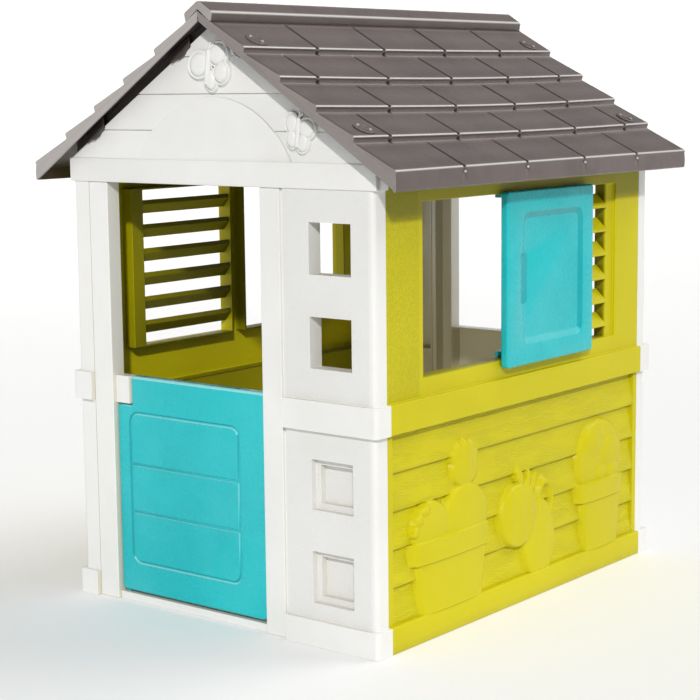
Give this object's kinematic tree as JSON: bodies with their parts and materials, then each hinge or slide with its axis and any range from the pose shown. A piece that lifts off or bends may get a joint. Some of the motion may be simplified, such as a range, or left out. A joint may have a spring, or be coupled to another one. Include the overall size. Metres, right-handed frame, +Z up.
{
  "type": "plastic playhouse",
  "caption": "Child's outdoor playhouse with a tiled ridge roof, half door, louvred side walls and a sliding window shutter.",
  "frame": {"origin": "centre of the footprint on the ground", "axes": "+Z up; -Y is the front, with the door; +X is the side wall with the sliding shutter"},
  "size_m": [0.974, 1.105, 1.27],
  "materials": {
    "white_plastic": "satin, finely grained",
    "lime_plastic": "satin, wood grained",
    "taupe_plastic": "satin",
    "teal_plastic": "gloss"
  },
  "bodies": {
    "house": {"back_butterfly_lower": "white_plastic", "back_butterfly_upper": "white_plastic", "back_corner_lower": "white_plastic", "back_corner_upper": "white_plastic", "back_gable": "white_plastic", "back_jamb_left": "white_plastic", "back_jamb_right": "white_plastic", "back_panel": "white_plastic", "back_wing_lower": "white_plastic", "back_wing_upper": "white_plastic", "door_hinge_block": "white_plastic", "door_sill": "white_plastic", "front_butterfly_lower": "white_plastic", "front_butterfly_upper": "white_plastic", "front_corner_lower": "white_plastic", "front_corner_upper": "white_plastic", "front_gable": "white_plastic", "front_jamb_left": "white_plastic", "front_jamb_right": "white_plastic", "front_wing_lower": "white_plastic", "front_wing_upper": "white_plastic", "left_lower": "lime_plastic", "left_slat_1": "lime_plastic", "left_slat_2": "lime_plastic", "left_slat_3": "lime_plastic", "left_slat_4": "lime_plastic", "left_slat_5": "lime_plastic", "left_slat_6": "lime_plastic", "left_upper": "lime_plastic", "ridge_cap": "taupe_plastic", "right_lower": "lime_plastic", "right_slat_1": "lime_plastic", "right_slat_2": "lime_plastic", "right_slat_3": "lime_plastic", "right_slat_4": "lime_plastic", "right_slat_5": "lime_plastic", "right_slat_6": "lime_plastic", "right_upper": "lime_plastic", "roof_knob_left_1": "taupe_plastic", "roof_knob_left_2": "taupe_plastic", "roof_knob_left_3": "taupe_plastic", "roof_knob_left_4": "taupe_plastic", "roof_knob_right_1": "taupe_plastic", "roof_knob_right_2": "taupe_plastic", "roof_knob_right_3": "taupe_plastic", "roof_knob_right_4": "taupe_plastic", "roof_left": "taupe_plastic", "roof_right": "taupe_plastic"},
    "door": {"door_panel": "teal_plastic", "door_pin_lower": "teal_plastic", "door_pin_upper": "teal_plastic"},
    "shutter": {"right_shutter": "teal_plastic", "shutter_hook_lower": "teal_plastic", "shutter_hook_upper": "teal_plastic"}
  },
  "joints": [
    {"name": "door_hinge", "type": "hinge", "parent": "house", "child": "door", "pos_m": [-0.291, -0.4945, 0.25], "axis": [0, 0, 1], "range_deg": [-90, 90]},
    {"name": "shutter_slide", "type": "slide", "parent": "house", "child": "shutter", "axis": [0, 1, 0], "range_m": [-0.268, 0.025]}
  ]
}
